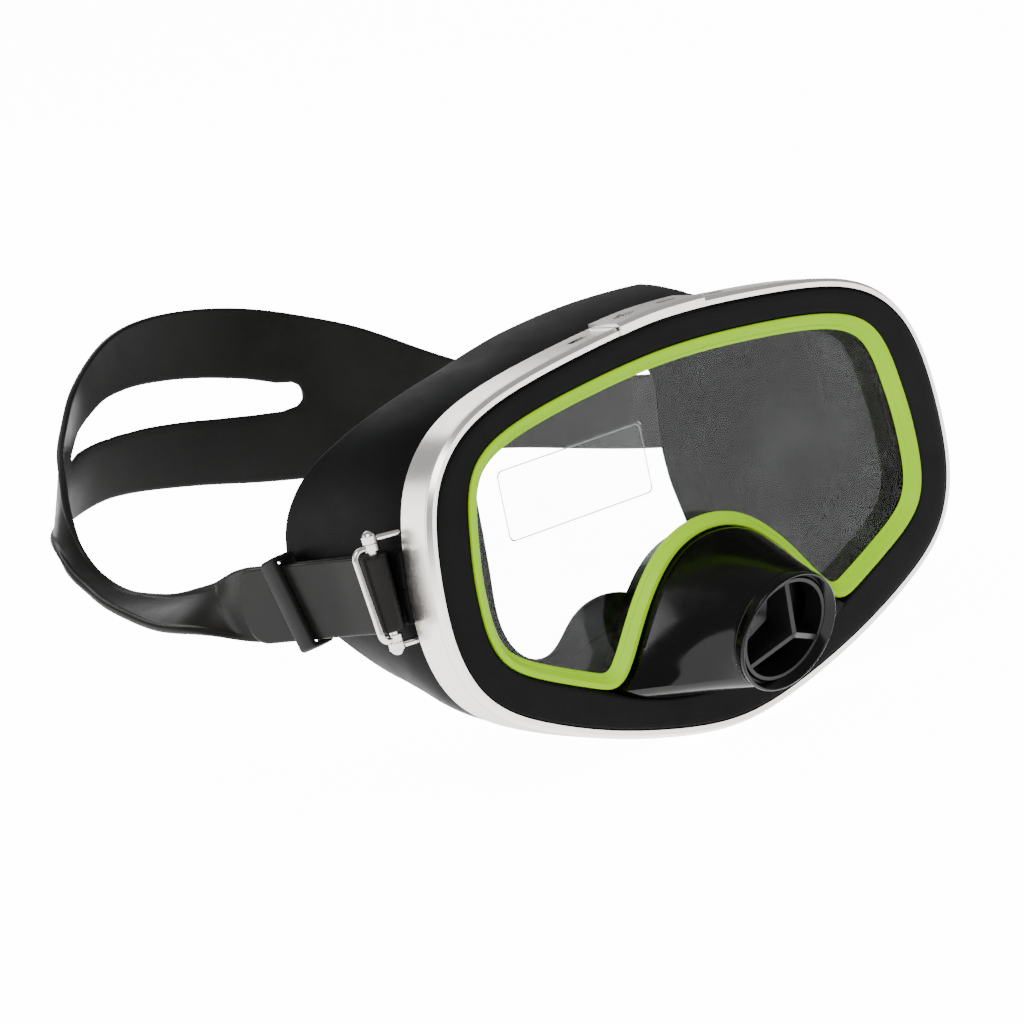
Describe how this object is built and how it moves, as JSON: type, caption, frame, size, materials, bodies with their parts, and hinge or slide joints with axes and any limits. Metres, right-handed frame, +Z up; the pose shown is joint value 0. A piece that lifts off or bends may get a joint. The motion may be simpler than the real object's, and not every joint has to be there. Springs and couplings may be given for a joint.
{
  "type": "diving mask",
  "caption": "Diving mask with a steel-banded oval lens, a nose pocket with a round purge outlet, wire buckles and a slotted rubber head strap.",
  "frame": {"origin": "centre of the front rim's flat face, on the mask's plane of symmetry", "axes": "-Y is the way the mask looks, +X is to the right seen from the front, +Z is up; the strap trails behind along +Y"},
  "size_m": [0.2104, 0.2307, 0.1147],
  "materials": {
    "black_rubber": "matte black moulded rubber",
    "gloss_rubber": "glossy black rubber",
    "lens_glass": "clear flat tempered glass",
    "green_trim": "glossy lime green",
    "label_film": "clear film",
    "steel": "polished stainless sheet",
    "steel_satin": "satin stainless",
    "wire_steel": "bright stainless wire",
    "guard_plastic": "satin black",
    "valve_rubber": "satin grey-black",
    "strap_rubber": "satin black rubber",
    "keeper_rubber": "satin black rubber"
  },
  "bodies": {
    "mask": {"rubber_body": "black_rubber", "nose_cone": "gloss_rubber", "lens": "lens_glass", "window_trim": "green_trim", "lens_gasket": "green_trim", "lens_label": "label_film", "steel_band": "steel", "band_bridge": "steel", "band_splice": "steel_satin", "purge_guard": "guard_plastic", "valve_seat": "guard_plastic", "strap": "strap_rubber", "buckle_pin_left": "wire_steel", "buckle_pin_right": "wire_steel", "lug_bracket_left": "wire_steel", "lug_bracket_right": "wire_steel", "lug_pad_left": "black_rubber", "lug_pad_right": "black_rubber"},
    "bow_left": {"buckle_bow_left": "wire_steel"},
    "bow_right": {"buckle_bow_right": "wire_steel"},
    "keeper_left": {"keeper_left": "keeper_rubber"},
    "keeper_right": {"keeper_right": "keeper_rubber"},
    "valve": {"valve_disc": "valve_rubber"}
  },
  "joints": [
    {"name": "bow_left_hinge", "type": "hinge", "parent": "mask", "child": "bow_left", "pos_m": [-0.0921, 0.0159, 0.007], "axis": [-0.0077, 0.0518, 0.9986], "range_deg": [0, 75]},
    {"name": "bow_right_hinge", "type": "hinge", "parent": "mask", "child": "bow_right", "pos_m": [0.0921, 0.0159, 0.007], "axis": [0.0077, 0.0518, 0.9986], "range_deg": [-75, 0]},
    {"name": "keeper_left_slide", "type": "slide", "parent": "mask", "child": "keeper_left", "axis": [-0.1476, 0.9877, -0.0523], "range_m": [-0.006, 0.006]},
    {"name": "keeper_right_slide", "type": "slide", "parent": "mask", "child": "keeper_right", "axis": [0.1476, 0.9877, -0.0523], "range_m": [-0.006, 0.006]},
    {"name": "valve_lift", "type": "slide", "parent": "mask", "child": "valve", "axis": [0, -0.9239, -0.3827], "range_m": [0, 0.002], "stiffness_N_per_m": 30}
  ]
}
